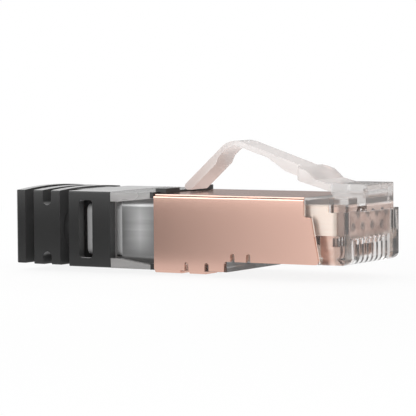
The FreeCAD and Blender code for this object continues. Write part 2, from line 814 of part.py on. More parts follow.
def make_flaps(body):
    """Two flaps on each side, folded in under the housing."""
    outer = HALF_WIDTH
    low = "-deep_level - flap_drop"
    flaps = (("rear_flap", "rear_flap_start", "rear_flap_length"),
             ("front_flap", "front_flap_start", "front_flap_length"))
    for name, start, length in flaps:
        outlines = []
        for side in ("", "-"):
            corners = [(outer, "-deep_level + 0.05"), (outer, low),
                       ("plug_width / 2 - flap_reach", low),
                       ("plug_width / 2 - flap_reach", low + " + sheet"),
                       ("plug_width / 2 - sheet", low + " + sheet"),
                       ("plug_width / 2 - sheet", "-deep_level + 0.05")]
            outlines.append([("%s(%s)" % (side, y), z) for y, z in corners])
        pad_front(body, name, "-%s - %s" % (start, length), length, outlines)
        bottom = -size("deep_level") - size("flap_drop")
        rear = -size(start) - size(length)
        dress(body, "Fillet", name + "_fold", "flap_round",
              lambda edge: runs_along(edge, "x") and near(edge.BoundBox.ZMin, bottom)
              and near(abs(edge.BoundBox.YMin), size("plug_width") / 2)
              and near(edge.BoundBox.XMin, rear))


# ---- Liner and wire guide ---------------------------------------------------------

def make_liner():
    """The inner screen: a roof and two sides, notched at the front."""
    body = new_body("inner_screen")
    outer = "(chamber_half_width - seat_gap)"
    top = "chamber_roof - seat_gap"
    side = [("-liner_front", "chamber_ledge + seat_gap"), ("-liner_front", "liner_notch_level"),
            ("-liner_notch_back", "liner_notch_level"), ("-liner_notch_back", top),
            ("-liner_end", top), ("-liner_end", "chamber_floor + seat_gap"),
            ("-ledge_end - seat_gap", "chamber_floor + seat_gap"),
            ("-ledge_end - seat_gap", "chamber_ledge + seat_gap")]
    pad_side(body, "screen_outline", "2 * " + outer, [side])
    inner = "(chamber_half_width - seat_gap - liner_sheet)"
    pocket_front(body, "screen_inside", "-liner_end - 1", "liner_end + 1",
                 [rectangle("-" + inner, inner, "-1", top + " - liner_sheet")])


def make_wire_guide():
    """The load bar: eight staggered wire holes, slit from below for the blades."""
    body = new_body("wire_guide")
    half = "(chamber_half_width - 2 * seat_gap - liner_sheet)"
    low = "chamber_ledge + seat_gap"
    high = "chamber_roof - 2 * seat_gap - liner_sheet"
    start = "-guide_front - guide_length"
    pad_front(body, "bar", start, "guide_length", [rectangle("-" + half, half, low, high)])
    holes = body.newObject("PartDesign::Pocket", "wire_holes")
    sketch = front_sketch(body, "wire_holes", [], start + " - 1")
    slits = []
    for index in range(int(size("contact_count"))):
        level = "upper_wire_level" if index % 2 else "lower_wire_level"
        middle = contact_offset(index)
        draw_circle(sketch, (middle, level), "wire_hole_radius")
        slits.append(rectangle(middle + " - blade_thickness / 2 - blade_gap",
                               middle + " + blade_thickness / 2 + blade_gap",
                               "chamber_ledge - 1", "blade_top + 3 * blade_gap"))
    holes.Profile = sketch
    holes.Reversed = True
    bind(holes, "Length", "guide_length + 2")
    settle(body, holes, removes=True)
    pocket_front(body, "guide_slits", "-blade_front - blade_length - blade_gap",
                 "blade_length + 2 * blade_gap", slits)


# ---- Rear shell and cable ferrule -------------------------------------------------

def make_rear_shell():
    outside = tube_block("shell_outside", "-shell_end", "-shell_start", "shell_half_width",
                         "shell_low", "shell_high", size("shell_round"))
    inside = tube_block("shell_inside", "-shell_end - 1", "-shell_start + 1",
                        "shell_half_width - shell_wall", "shell_low + shell_wall",
                        "shell_high - shell_wall", size("shell_round") - size("shell_wall"))
    finish_part(cut_away("rear_shell_cut", outside, [inside]), "rear_shell")


def ferrule_solid(name, inset):
    """The straight barrel and the flare that opens out to the rear shell."""
    offset = "" if inset == "0" else " - " + inset
    grow = "" if inset == "0" else " + " + inset
    wall = 0.0 if inset == "0" else size(inset)
    barrel = tube_block(name + "_barrel", "-ferrule_end" + ("" if inset == "0" else " - 1"),
                        "-ferrule_flare_end", "ferrule_half_width" + offset,
                        "ferrule_low" + grow, "ferrule_high" + offset,
                        size("ferrule_round") - wall)
    small = section(name + "_small", "-ferrule_flare_end", "ferrule_half_width" + offset,
                    "ferrule_low" + grow, "ferrule_high" + offset, size("ferrule_round") - wall)
    large = section(name + "_large", "-shell_end - seat_gap", "flare_half_width" + offset,
                    "flare_low" + grow, "flare_high" + offset, size("ferrule_round") - wall)
    flare = doc.addObject("Part::Loft", name + "_flare")
    flare.Sections = [small, large]
    flare.Solid = True
    flare.Ruled = True
    doc.recompute()
    return joined(name + "_solid", [barrel, flare])


def section(name, x, half, low, high, radius):
    """A rounded rectangle across the plug at one place along it."""
    frame = doc.addObject("Part::Feature", name)
    y = number(half)
    bottom = number(low)
    top = number(high)
    place = number(x)
    box = Part.makeBox(1, 2 * y, top - bottom, FreeCAD.Vector(place, -y, bottom))
    long_edges = [edge for edge in box.Edges if runs_along(edge, "x")]
    solid = box.makeFillet(radius, long_edges)
    face = min(solid.Faces, key=lambda candidate: candidate.CenterOfMass.x)
    frame.Shape = face.OuterWire
    return frame


def make_ferrule():
    outside = ferrule_solid("ferrule_outside", "0")
    inside = ferrule_solid("ferrule_inside", "ferrule_wall")
    finish_part(cut_away("ferrule_cut", outside, [inside]), "cable_ferrule")


# ---- Collar -----------------------------------------------------------------------

def make_collar():
    """The ring in the shield's rear mouth, its two cross bars and the latch posts."""
    ring = block("ring_outside", "-shield_end", "-collar_start", "-(%s)" % INNER_HALF, INNER_HALF,
                 "-deep_level - flap_drop + sheet + seat_gap", INNER_TOP)
    top_bar = block("top_bar", "-collar_end", "-shield_end - seat_gap", "-plug_width / 2",
                    HALF_WIDTH, "collar_top - collar_bar", "collar_top")
    low_bar = block("low_bar", "-collar_end", "-shield_end - seat_gap", "-plug_width / 2",
                    HALF_WIDTH, "collar_low", "collar_low + collar_bar")
    neck = block("collar_neck", "-collar_end", "-collar_start", "-post_outer", "post_outer",
                 "collar_low + seat_gap", INNER_TOP)
    posts = []
    for name, y0, y1 in (("near_post", "-post_outer", "-post_inner"),
                         ("far_post", "post_inner", "post_outer")):
        posts.append(block(name, "-collar_end", "-post_front", y0, y1,
                           "plug_height + seat_gap", "post_top"))
    passage = tube_block("collar_passage", "-collar_end - 1", "-collar_start + 1",
                         "shell_half_width + seat_gap", "shell_low - seat_gap",
                         "shell_high + seat_gap", size("shell_round") + size("seat_gap"))
    solid = joined("collar_solid", [ring, top_bar, low_bar, neck] + posts)
    finish_part(cut_away("collar_cut", solid, [passage]), "collar")


# ---- Clear sleeve -----------------------------------------------------------------

def make_sleeve():
    """Two slabs joined at the rear by a ring that sits in the boot's mouth."""
    body = new_body("clear_sleeve")
    rear = "-boot_front + sleeve_seat"
    front = "-collar_end - sleeve_seat"
    middle = "-shell_end - seat_gap"
    roof = [(rear, "sleeve_top"), (front, "sleeve_top"), (front, "sleeve_roof_front"),
            (middle, "sleeve_roof"), (rear, "sleeve_roof")]
    floor = [(rear, "sleeve_low"), (front, "sleeve_low"), (front, "sleeve_floor_front"),
             (middle, "sleeve_floor"), (rear, "sleeve_floor")]
    pad_side(body, "slabs", "plug_width", [roof])
    pad_side(body, "lower_slab", "plug_width", [floor])
    half = size("plug_width") / 2
    outer = "(plug_width / 2 - boot_wall - seat_gap)"
    ring_low = "boot_low + boot_wall / 2 + seat_gap"
    ring_high = "boot_top - boot_wall / 2 - seat_gap"
    pad_front(body, "ring", "-boot_front - sleeve_ring_length",
              "sleeve_ring_length + sleeve_seat",
              [rectangle("-" + outer, outer, ring_low, ring_high)])
    dress(body, "Fillet", "slab_edges", "boot_edge",
          lambda edge: runs_along(edge, "x") and near(abs(edge.BoundBox.YMin), half)
          and (near(edge.BoundBox.ZMin, size("sleeve_top"))
               or near(edge.BoundBox.ZMin, size("sleeve_low"))))
    # The rear shell fills the space between the slabs.
    shell = "(shell_half_width + seat_gap)"
    pocket_front(body, "shell_passage", "-shell_end - seat_gap", "shell_end",
                 [rectangle("-" + shell, shell, "shell_low - seat_gap", "shell_high + seat_gap")])
    inner = "(ferrule_half_width + seat_gap)"
    pocket_front(body, "ring_bore", "-boot_front - sleeve_ring_length - 1",
                 "sleeve_ring_length + sleeve_seat + 1",
                 [rectangle("-" + inner, inner, "ferrule_low - seat_gap",
                            "ferrule_high + seat_gap")])


# ---- Boot -------------------------------------------------------------------------

def oval(name, x, half_width, half_height):
    ring = doc.addObject("Part::Ellipse", name)
    turn = FreeCAD.Rotation(FreeCAD.Vector(1, 1, 1), 120)
    ring.Placement = FreeCAD.Placement(FreeCAD.Vector(0, 0, 0), turn)
    bind(ring, "MajorRadius", half_width)
    bind(ring, "MinorRadius", half_height)
    bind(ring, "Placement.Base.x", x)
    bind(ring, "Placement.Base.z", CORE_AXIS)
    return ring


def crowned(name, base, crown, length, x):
    """A block whose top is arched across the plug by a crown height."""
    drum = cylinder(name + "_drum", "((plug_width / 2) ^ 2 + %s ^ 2) / (2 * %s)" % (crown, crown),
                    length, x, "0", "boot_top + %s - ((plug_width / 2) ^ 2 + %s ^ 2) / (2 * %s)"
                    % (crown, crown, crown), "x")
    shared = doc.addObject("Part::Common", name)
    shared.Base = base
    shared.Tool = drum
    doc.recompute()
    return shared


def make_boot_ribs():
    """The main block, the notched middle block and the end rib, with their bridge."""
    half = HALF_WIDTH
    main = block("boot_block", "-block_end", "-boot_front", "-plug_width / 2", half,
                 "boot_low", "boot_top")
    middle = block("boot_middle", "-middle_end", "-middle_start", "-plug_width / 2", half,
                   "middle_low", "boot_top + middle_crown")
    rib = block("boot_rib", "-boot_end", "-rib_start", "-plug_width / 2", half,
                "rib_low", "boot_top + rib_crown")
    bridge = block("boot_bridge", "-middle_start - 0.1", "-block_end + 0.1", "-bridge_half_width",
                   "bridge_half_width", "middle_low", "boot_top")
    edge_radius = size("boot_edge")
    main = rounded("block_edges", main, edge_radius, lambda edge: runs_along(edge, "x"))
    middle = crowned("middle_arch", middle, "middle_crown", "middle_end - middle_start",
                     "-middle_end")
    middle = rounded("middle_edges", middle, edge_radius, lambda edge: runs_along(edge, "x"))
    rib = crowned("rib_arch", rib, "rib_crown", "boot_end - rib_start", "-boot_end")
    rib = rounded("rib_edges", rib, size("rib_round"),
                  lambda edge: near(edge.BoundBox.XMax, -size("boot_end")))
    return [main, cut_away("middle_notched", middle, notch_cutters()), rib, bridge]


def notch_cutters():
    """Round-bottomed notches across the top and the bottom of the middle block."""
    centre = "-notch_start - notch_width / 2"
    cutters = []
    for name, rounding, low, high in (
            ("top_notch", "notch_floor + notch_width / 2", "notch_floor + notch_width / 2",
             "boot_top + 2"),
            ("low_notch", "notch_roof - notch_width / 2", "boot_low - 1",
             "notch_roof - notch_width / 2")):
        cutters.append(block(name, "-notch_start - notch_width", "-notch_start",
                             "-plug_width / 2 - 1", "plug_width / 2 + 1", low, high))
        cutters.append(cylinder(name + "_round", "notch_width / 2", "plug_width + 2", centre,
                                "-plug_width / 2 - 1", rounding, "y"))
    return cutters


def make_boot():
    ribs = make_boot_ribs()
    core = doc.addObject("Part::Loft", "boot_core")
    core.Sections = [oval("core_front", "-block_end + 0.2", "core_half_width", "core_half_height"),
                     oval("core_rear", "-rib_start - 0.2", "core_rear_radius + 0.001",
                          "core_rear_radius")]
    core.Solid = True
    core.Ruled = True
    doc.recompute()
    solid = joined("boot_solid", ribs + [core])
    inner_half = "plug_width / 2 - boot_wall"
    cavity = tube_block("boot_cavity", "-cavity_end", "-boot_front + 1", inner_half,
                        "boot_low + boot_wall / 2", "boot_top - boot_wall / 2", 0.3)
    bore = cylinder("cable_bore", "cable_radius", "boot_end - boot_front + 2", "-boot_end - 1",
                    "0", CORE_AXIS, "x")
    window = block("window", "-window_start - window_length", "-window_start",
                   "-plug_width / 2 - 1", "plug_width / 2 + 1", "window_low", "window_high")
    window = rounded("window_corners", window, size("window_round"),
                     lambda edge: runs_along(edge, "y"))
    finish_part(cut_away("boot_cut", solid, [cavity, bore, window]), "boot")


# ---- Build ------------------------------------------------------------------------

def build():
    make_housing()
    for index in range(int(size("contact_count"))):
        make_contact(index)
    make_latch_arm()
    make_latch_tail()
    make_shield()
    make_liner()
    make_wire_guide()
    make_rear_shell()
    make_ferrule()
    make_collar()
    make_sleeve()
    make_boot()
    doc.recompute()


def check_and_write():
    for thing in doc.Objects:
        if "Invalid" in thing.State or "Error" in thing.State:
            raise RuntimeError("%s failed" % thing.Name)
    os.makedirs("parts", exist_ok=True)
    for part in parts:
        shape = part.Shape
        if shape.isNull() or not shape.isValid():
            raise RuntimeError("%s has no valid shape" % part.Label)
        shape.exportStep("parts/%s.step" % part.Label)
        box = shape.BoundBox
        print("%-14s solids %d  volume %8.2f  x %6.2f..%6.2f  y %6.2f..%6.2f  z %6.2f..%6.2f" % (
            part.Label, len(shape.Solids), shape.Volume, box.XMin, box.XMax, box.YMin, box.YMax,
            box.ZMin, box.ZMax))


build()
check_and_write()
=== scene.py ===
import math

import bmesh
import bpy
from mathutils import Matrix, Vector


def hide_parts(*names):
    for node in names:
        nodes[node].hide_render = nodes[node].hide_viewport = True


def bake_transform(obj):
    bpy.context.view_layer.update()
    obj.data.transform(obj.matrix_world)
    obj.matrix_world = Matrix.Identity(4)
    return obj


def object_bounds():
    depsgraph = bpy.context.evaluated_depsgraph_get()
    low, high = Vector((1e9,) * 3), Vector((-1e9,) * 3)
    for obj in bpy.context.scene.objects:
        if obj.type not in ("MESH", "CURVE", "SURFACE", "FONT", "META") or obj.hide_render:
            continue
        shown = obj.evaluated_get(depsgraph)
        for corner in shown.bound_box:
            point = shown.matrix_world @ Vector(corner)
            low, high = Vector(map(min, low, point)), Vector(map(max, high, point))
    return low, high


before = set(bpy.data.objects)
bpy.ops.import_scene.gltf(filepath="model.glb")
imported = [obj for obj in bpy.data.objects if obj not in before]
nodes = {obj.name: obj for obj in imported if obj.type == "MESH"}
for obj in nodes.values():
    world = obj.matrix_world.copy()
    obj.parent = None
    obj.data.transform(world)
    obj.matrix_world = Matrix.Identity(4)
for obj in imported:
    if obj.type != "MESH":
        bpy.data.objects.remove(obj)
lowCad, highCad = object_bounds()
mm = 0.001
print("stage: frame loaded,", len(nodes), "nodes")


# colours are written as they look and turned to linear values here
def toLinear(hexText):
    parts = [int(hexText[i:i + 2], 16) / 255 for i in (1, 3, 5)]
    return tuple(c / 12.92 if c <= 0.04045 else ((c + 0.055) / 1.055) ** 2.4 for c in parts) + (1,)


# an input takes a value, a colour as hex text, a socket, or a node whose first output is linked
def addNode(tree, kind, inputs=None, **settings):
    node = tree.nodes.new("ShaderNode" + kind)
    for name, value in settings.items():
        setattr(node, name, value)
    for key, value in (inputs or {}).items():
        if isinstance(value, bpy.types.Node):
            value = value.outputs[0]
        if isinstance(value, bpy.types.NodeSocket):
            tree.links.new(value, node.inputs[key])
        else:
            node.inputs[key].default_value = toLinear(value) if isinstance(value, str) else value
    return node


def newMaterial(name):
    material = bpy.data.materials.new(name)
    material.use_nodes = True
    material.node_tree.nodes.clear()
    return material, material.node_tree


noiseSpan = {"From Min": 0.3, "From Max": 0.7}  # where most of a noise pattern's values lie
colourMix = {"data_type": "RGBA"}  # inputs: 0 the factor, 6 and 7 the colours; output: 2


# a colour that wanders between a dark and a light one in soft patches
def cloudedFace(tree, look):
    where = addNode(tree, "TexCoord").outputs["Object"]
    clouds = addNode(tree, "TexNoise", {"Vector": where, "Scale": 1 / (look["cloudMm"] * mm), "Detail": 2.0})
    share = addNode(tree, "MapRange", {"Value": clouds, **noiseSpan})
    return addNode(tree, "Mix", {0: share, 6: look["dark"], 7: look["light"]}, **colourMix).outputs[2]


# 1 inside a box of the row frame given in mm, 0 outside, with a soft edge
def insideBox(tree, low, high, softMm):
    axes = addNode(tree, "SeparateXYZ", {0: addNode(tree, "TexCoord").outputs["Object"]})
    inside = None
    for axis in range(3):
        for limit, sign in ((low[axis], 1), (high[axis], -1)):
            if limit is None:
                continue
            step = addNode(tree, "MapRange", {"Value": axes.outputs[axis],
                                              "From Min": (limit - sign * softMm / 2) * mm,
                                              "From Max": (limit + sign * softMm / 2) * mm})
            if inside is None:
                inside = step
            else:
                inside = addNode(tree, "Math", {0: inside, 1: step}, operation="MULTIPLY")
    return inside


bevelAngleDeg = 40  # edges sharper than this are rounded


def addBevel(piece, bevelMm, segments=2):
    bevel = piece.modifiers.new("edge", "BEVEL")
    bevel.width = bevelMm * mm
    bevel.segments = segments
    bevel.limit_method = "ANGLE"
    bevel.angle_limit = math.radians(bevelAngleDeg)
    bevel.harden_normals = True


def dressNode(name, material, bevelMm=0.0):
    node = nodes[name]
    node.data.materials.clear()
    node.data.materials.append(material)
    if bevelMm:
        addBevel(node, bevelMm)


# clear mouldings: a refracting shader with the faint flow marks of the melt along the plug,
# a little milk in it, and light that passes to what is behind
def makeClear(name, look):
    material, tree = newMaterial(name)
    where = addNode(tree, "TexCoord").outputs["Object"]
    drawn = addNode(tree, "Mapping", {"Vector": where, "Scale": (1 / look["flowStretch"], 1, 1)})
    flow = addNode(tree, "TexNoise", {"Vector": drawn, "Scale": 1 / (look["flowMm"] * mm), "Detail": 2.0})
    flowShare = addNode(tree, "MapRange", {"Value": flow, **noiseSpan})
    rough = addNode(tree, "MapRange", {"Value": flow, **noiseSpan,
                                       "To Min": look["roughLow"], "To Max": look["roughHigh"]})
    tint = addNode(tree, "Mix", {0: flowShare, 6: look["tintDark"], 7: look["tint"]}, **colourMix).outputs[2]

    # milk makes a zone cloudier, and painted shade makes it darker
    milkShare = look["milk"]
    for low, high, amount in look.get("milkZones", []):
        zone = insideBox(tree, low, high, look["zoneSoftMm"])
        milkShare = addNode(tree, "Math", {0: zone, 1: amount, 2: milkShare}, operation="MULTIPLY_ADD")
    milkTone = look["milkHex"]
    # painted shade: each shade zone mixes the tint and the milk towards darker greys
    for low, high, amount in look.get("paintedShadeZones", []):
        zone = insideBox(tree, low, high, look["zoneSoftMm"])
        shadeAmount = addNode(tree, "Math", {0: zone, 1: amount}, operation="MULTIPLY")
        tint = addNode(tree, "Mix", {0: shadeAmount, 6: tint, 7: look["paintedShadeHex"]}, **colourMix).outputs[2]
        milkTone = addNode(tree, "Mix", {0: shadeAmount, 6: milkTone, 7: look["paintedShadeMilkHex"]},
                           **colourMix).outputs[2]

    if "frostBox" in look:
        frost = insideBox(tree, *look["frostBox"], look["frostSoftMm"])
        rough = addNode(tree, "Mix", {0: frost, 2: rough, 3: look["frostRough"]})
        patches = addNode(tree, "TexNoise", {"Vector": where, "Scale": 1 / (look["frostCloudMm"] * mm),
                                             "Detail": 1.0})
        cloud = addNode(tree, "MapRange", {"Value": patches, "From Min": look["frostCloudFrom"],
                                           "From Max": look["frostCloudTo"]}, interpolation_type="SMOOTHSTEP")
        frostFace = addNode(tree, "Mix", {0: cloud, 6: look["frostDark"], 7: look["frostTint"]},
                            **colourMix).outputs[2]
        tint = addNode(tree, "Mix", {0: frost, 6: tint, 7: frostFace}, **colourMix).outputs[2]

    clear = addNode(tree, "BsdfPrincipled", {"Base Color": tint, "Roughness": rough, "IOR": look["ior"],
                                             "Transmission Weight": 1.0})
    milk = addNode(tree, "BsdfDiffuse", {"Color": milkTone})
    haze = addNode(tree, "BsdfTranslucent", {"Color": milkTone})
    cloudy = addNode(tree, "MixShader", {0: look["hazeShare"], 1: milk, 2: haze})
    gloss = addNode(tree, "BsdfAnisotropic", {"Roughness": look["roughLow"]})  # the milk shines as well
    edgeOn = addNode(tree, "Fresnel", {"IOR": look["ior"]})
    skinned = addNode(tree, "MixShader", {0: edgeOn, 1: cloudy, 2: gloss})
    body = addNode(tree, "MixShader", {0: milkShare, 1: clear, 2: skinned})

    # shadow rays, diffuse rays and long paths go straight through, which lights the inside
    path = addNode(tree, "LightPath")
    shadow = addNode(tree, "Math", {0: path.outputs["Is Shadow Ray"], 1: look["shadowShare"]},
                     operation="MULTIPLY")
    deep = addNode(tree, "Math", {0: path.outputs["Ray Depth"], 1: look["clearAfter"]},
                   operation="GREATER_THAN")
    soft = addNode(tree, "Math", {0: path.outputs["Is Diffuse Ray"], 1: deep}, operation="MAXIMUM")
    passing = addNode(tree, "Math", {0: shadow, 1: soft}, operation="MAXIMUM")
    through = addNode(tree, "BsdfTransparent", {"Color": look["tint"]})
    whole = addNode(tree, "MixShader", {0: passing, 1: body, 2: through})
    addNode(tree, "OutputMaterial", {"Surface": whole})
    return material


# the housing gives the eye a clear nose with painted shade on its cheeks and latch block, and a frosted front
# panel over the comb
# each zone is a box from a low to a high corner in mm, open where a side says None
nearCheek = ((17.6, None, 1.2), (None, -4.6, 7.2))
farCheek = ((17.6, 4.6, 1.2), (None, None, 7.2))
frontPanel = ((18.6, -4.9, 3.9), (None, 4.2, 6.6))
latchBlock = ((16.0, -3.2, 8.4), (None, 3.2, 9.4))
noseTop = ((9.0, -6.0, 7.2), (None, 6.0, 8.4))
housingLook = {
    "ior": 1.49, "tint": "#ffffff", "tintDark": "#f9f8f7", "roughLow": 0.09, "roughHigh": 0.13, "flowMm": 3.0,
    "flowStretch": 2, "milk": 0.02, "milkHex": "#c4bebb", "hazeShare": 0.5, "shadowShare": 1.0,
    "clearAfter": 4.5,
    "frostBox": frontPanel, "frostSoftMm": 0.12, "frostRough": 0.45, "frostTint": "#fff4ee",
    "frostDark": "#d9c9c2", "frostCloudMm": 1.6, "frostCloudFrom": 0.35, "frostCloudTo": 0.65,
    "milkZones": [(*frontPanel, 0.12), (*latchBlock, 0.22), (*noseTop, 0.42), (*nearCheek, 0.14),
                  (*farCheek, 0.14)],
    # painted shade darkens the cheeks fully and the latch block partly
    "paintedShadeZones": [(*nearCheek, 1.0), (*farCheek, 1.0), (*latchBlock, 0.4)],
    "paintedShadeHex": "#b9b4b1", "paintedShadeMilkHex": "#8f8a88", "zoneSoftMm": 0.3, "bevelMm": 0.05}
housingPlastic = makeClear("polycarbonateInjectionMoulded", housingLook)
dressNode("housing", housingPlastic, housingLook["bevelMm"])

# the latch is the same moulding, thinner, and gives the eye a milky white strip, with painted shade greying
# its tail
latchLook = {
    "ior": 1.49, "tint": "#fdfbfa", "tintDark": "#f8f5f4", "roughLow": 0.20, "roughHigh": 0.24, "flowMm": 3.0,
    "flowStretch": 2, "milk": 0.66, "milkHex": "#faf8f7", "hazeShare": 0.35, "shadowShare": 0.8,
    "clearAfter": 4.5,
    # painted shade greys the tail end of the strip
    "paintedShadeZones": [((None, None, None), (3.2, None, None), 0.6)],
    "paintedShadeHex": "#e6dcd8", "paintedShadeMilkHex": "#ddd1cc", "zoneSoftMm": 2.4,
    "bendMm": (3.786, 0, 13.201), "bendLeanDeg": 11.7, "bendReachMm": 1.4,  # the arch bends around here
    "jointMm": 0.06, "tinyMm": 0.001, "sharpDeg": 25, "bevelMm": 0.08, "bevelSegments": 3}
latchPlastic = makeClear("polycarbonateFlexedLatch", latchLook)


# one strip out of the arm and the tail, which bends over the top of the arch
def joinLatch(look):
    lean = math.radians(look["bendLeanDeg"])
    along = Vector((math.cos(lean), 0, math.sin(lean)))
    bend = Vector(look["bendMm"]) * mm
    joined = bmesh.new()
    for part in ("latch_arm", "latch_tail"):
        joined.from_mesh(nodes[part].data)
    ends = [face for face in joined.faces
            if all(abs((vert.co - bend).dot(along)) < look["jointMm"] * mm for vert in face.verts)]
    bmesh.ops.delete(joined, geom=ends, context="FACES")
    rim = [vert for vert in joined.verts if vert.is_boundary]
    bmesh.ops.remove_doubles(joined, verts=rim, dist=look["jointMm"] * mm)
    bmesh.ops.dissolve_degenerate(joined, dist=look["tinyMm"] * mm, edges=joined.edges)
    for face in joined.faces:
        face.smooth = True
    for edge in joined.edges:
        edge.smooth = edge.calc_face_angle(0) < math.radians(look["sharpDeg"])
    print("latch: end faces", len(ends), "open edges", sum(edge.is_boundary for edge in joined.edges))
    mesh = bpy.data.meshes.new("latch")
    joined.to_mesh(mesh)
    joined.free()
    mesh.materials.append(latchPlastic)
    latch = bpy.data.objects.new("latch", mesh)
    bpy.context.scene.collection.objects.link(latch)
    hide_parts("latch_arm", "latch_tail")
    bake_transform(latch)
    addBevel(latch, look["bevelMm"], look["bevelSegments"])


joinLatch(latchLook)
print("stage: clear plastic")


# rolled and stamped sheet, with fine lines along the plug and faint clouds over it
def makeSheet(name, look):
    material, tree = newMaterial(name)
    where = addNode(tree, "TexCoord").outputs["Object"]
    drawn = addNode(tree, "Mapping", {"Vector": where, "Scale": (1 / look["lineStretch"], 1, 1)})
    lines = addNode(tree, "TexNoise", {"Vector": drawn, "Scale": 1 / (look["lineMm"] * mm), "Detail": 4.0})
    clouds = addNode(tree, "TexNoise", {"Vector": where, "Scale": 1 / (look["cloudMm"] * mm), "Detail": 2.0})
    tone = addNode(tree, "Mix", {0: 0.5, 2: lines, 3: clouds})
    toneShare = addNode(tree, "MapRange", {"Value": tone, **noiseSpan})
    face = addNode(tree, "Mix", {0: toneShare, 6: look["dark"], 7: look["light"]}, **colourMix).outputs[2]
    # painted highlight and shade: inside the box the sheet keeps its colour, outside it turns a darker grey
    if "paintedHighlightBox" in look:
        paintedHighlight = insideBox(tree, *look["paintedHighlightBox"], look["paintedHighlightSoftMm"])
        face = addNode(tree, "Mix", {0: paintedHighlight, 6: look["paintedEdgeShadeHex"], 7: face}, **colourMix).outputs[2]
    rough = addNode(tree, "MapRange", {"Value": lines, **noiseSpan,
                                       "To Min": look["roughLow"], "To Max": look["roughHigh"]})
    bump = addNode(tree, "Bump", {"Height": lines, "Distance": look["lineDepthMm"] * mm,
                                  "Strength": look["bump"]})
    metal = addNode(tree, "BsdfPrincipled", {"Base Color": face, "Metallic": look["metallic"],
                                             "Roughness": rough, "Normal": bump})
    addNode(tree, "OutputMaterial", {"Surface": metal})
    return material


# the shield gives the eye satin rose copper with sharp bright folds, and rolling lines 0.04 mm wide
shieldLook = {"light": "#deb7a8", "dark": "#dab3a4", "roughLow": 0.17, "roughHigh": 0.19, "metallic": 1.0,
              "lineMm": 0.04, "lineStretch": 25, "lineDepthMm": 0.0002, "bump": 0.4, "cloudMm": 6.0,
              "bevelMm": 0.03}
shieldSheet = makeSheet("copperAlloySheetStamped", shieldLook)
dressNode("shield", shieldSheet, shieldLook["bevelMm"])

# the inner screen gives the eye a pale peach patch behind the clear nose
# its rolling lines are drawn coarser than they are, so that they show through the plastic
screenLook = {"light": "#fff6ec", "dark": "#fae3d4", "roughLow": 0.30, "roughHigh": 0.40, "metallic": 0.7,
              "lineMm": 0.3, "lineStretch": 25, "lineDepthMm": 0.001, "bump": 0.4, "cloudMm": 6.0}
screenSheet = makeSheet("copperAlloyScreenFolded", screenLook)
dressNode("inner_screen", screenSheet)
print("stage: copper sheet")

# the wire guide gives the eye a warm block with painted shade in its holes behind the front panel
guideLook = {"light": "#f2dacf", "dark": "#dabaad", "cloudMm": 1.2, "rough": 0.5, "ior": 1.45,
             "holeShadeHex": "#2e1c18", "holeReachMm": 1.0, "holeFrom": 0.4, "holeTo": 0.85, "bevelMm": 0.03}
guidePlastic, tree = newMaterial("wireGuideMoulded")
# painted shade: ambient occlusion turns the guide's holes and hollows dark brown
openness = addNode(tree, "AmbientOcclusion", {"Distance": guideLook["holeReachMm"] * mm}, only_local=True)
holeShade = addNode(tree, "MapRange", {"Value": openness.outputs["AO"],
                                   "From Min": guideLook["holeFrom"], "From Max": guideLook["holeTo"]})
face = addNode(tree, "Mix", {0: holeShade, 6: guideLook["holeShadeHex"], 7: cloudedFace(tree, guideLook)}, **colourMix)
shader = addNode(tree, "BsdfPrincipled", {"Base Color": face.outputs[2], "Roughness": guideLook["rough"],
                                          "IOR": guideLook["ior"]})
addNode(tree, "OutputMaterial", {"Surface": shader})
dressNode("wire_guide", guidePlastic, guideLook["bevelMm"])

# the blades give the eye pale rose glints between the fins
contactLook = {"light": "#f6d9cb", "dark": "#eec6b4", "cloudMm": 0.6, "rough": 0.28, "metallic": 1.0,
               "bevelMm": 0.02}
bladePlate, tree = newMaterial("platedContactBronze")
shader = addNode(tree, "BsdfPrincipled", {"Base Color": cloudedFace(tree, contactLook),
                                          "Roughness": contactLook["rough"],
                                          "Metallic": contactLook["metallic"]})
addNode(tree, "OutputMaterial", {"Surface": shader})
for index in range(1, 9):
    dressNode("contact_%d" % index, bladePlate, contactLook["bevelMm"])
print("stage: contacts")

# the rear shell gives the eye plain satin grey metal, with a painted highlight in the middle of its side and
# painted shade towards its edges
# its drawing lines and the ferrule's are drawn coarser than they are, so that they show
shellLook = {"light": "#cbcbcb", "dark": "#c3c3c3", "roughLow": 0.30, "roughHigh": 0.36, "metallic": 1.0,
             "paintedEdgeShadeHex": "#7d7d7d", "paintedHighlightBox": ((-5.9, None, 2.4), (-3.9, None, 6.4)), "paintedHighlightSoftMm": 2.0,
             "lineMm": 0.3, "lineStretch": 25, "lineDepthMm": 0.0002, "bump": 0.4, "cloudMm": 6.0,
             "bevelMm": 0.05}
shellMetal = makeSheet("nickelPlatedCrimpShell", shellLook)
dressNode("rear_shell", shellMetal, shellLook["bevelMm"])

# the ferrule gives the eye a dull grey mouth behind the sleeve, too matt to mirror anything
ferruleLook = {"light": "#c2c2c2", "dark": "#bababa", "roughLow": 0.50, "roughHigh": 0.58, "metallic": 0.0,
               "lineMm": 0.3, "lineStretch": 25, "lineDepthMm": 0.0002, "bump": 0.4, "cloudMm": 6.0,
               "bevelMm": 0.05}
ferruleMetal = makeSheet("satinCastFerrule", ferruleLook)
dressNode("cable_ferrule", ferruleMetal, ferruleLook["bevelMm"])
print("stage: rear metal")


